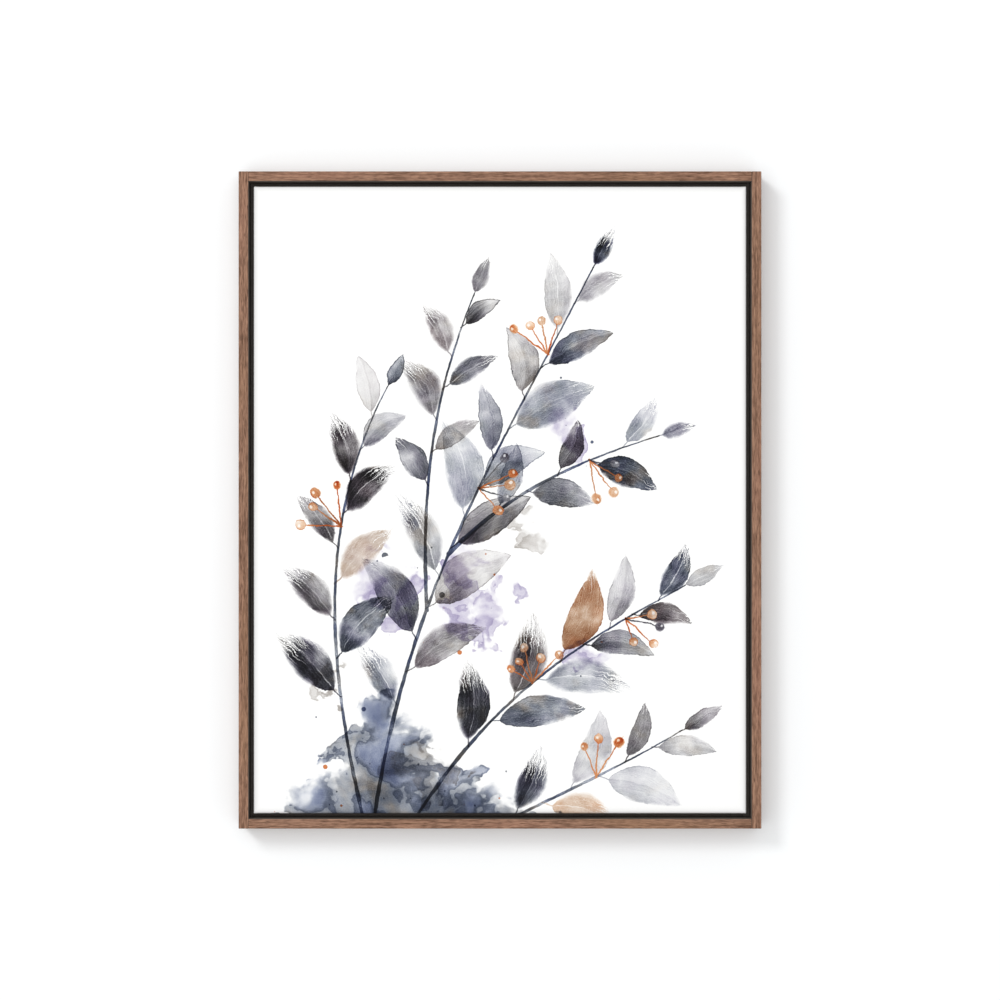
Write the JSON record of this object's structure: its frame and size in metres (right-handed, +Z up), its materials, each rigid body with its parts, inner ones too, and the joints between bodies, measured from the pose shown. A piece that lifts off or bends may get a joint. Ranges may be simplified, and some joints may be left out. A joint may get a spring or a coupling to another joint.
{
  "type": "floater-framed canvas wall picture",
  "caption": "Portrait gallery-wrapped canvas print in a slim walnut floater frame with a dark gap round it, sawtooth hanger, screws and rubber pads behind.",
  "frame": {"origin": "on the wall plane, at the point where the middle notch of the sawtooth hanger sits on its nail", "axes": "+X to the right as seen from the room, +Z up, +Y into the wall, so the picture faces -Y"},
  "size_m": [0.5924, 0.041, 0.7448],
  "materials": {
    "walnut": "satin open-pore stained wood, matt black inside the gap",
    "pine": "planed bare softwood",
    "canvas": "matt primed cotton canvas with a printed watercolour",
    "steel": "zinc-plated",
    "zinc": "galvanised pressed sheet",
    "rubber": "matt"
  },
  "bodies": {
    "root": {"stile_left": "walnut", "stile_right": "walnut", "rail_top": "walnut", "rail_bottom": "walnut", "stretcher_left": "pine", "stretcher_top": "pine", "stretcher_right": "pine", "stretcher_bottom": "pine", "canvas": "canvas", "screw_left_1": "steel", "screw_left_2": "steel", "screw_top_1": "steel", "screw_top_2": "steel", "screw_right_1": "steel", "screw_right_2": "steel", "screw_bottom_1": "steel", "screw_bottom_2": "steel", "hanger": "zinc", "nail_left": "steel", "nail_right": "steel", "pad_top_left": "rubber", "pad_top_right": "rubber", "pad_bottom_left": "rubber", "pad_bottom_right": "rubber"}
  },
  "joints": []
}
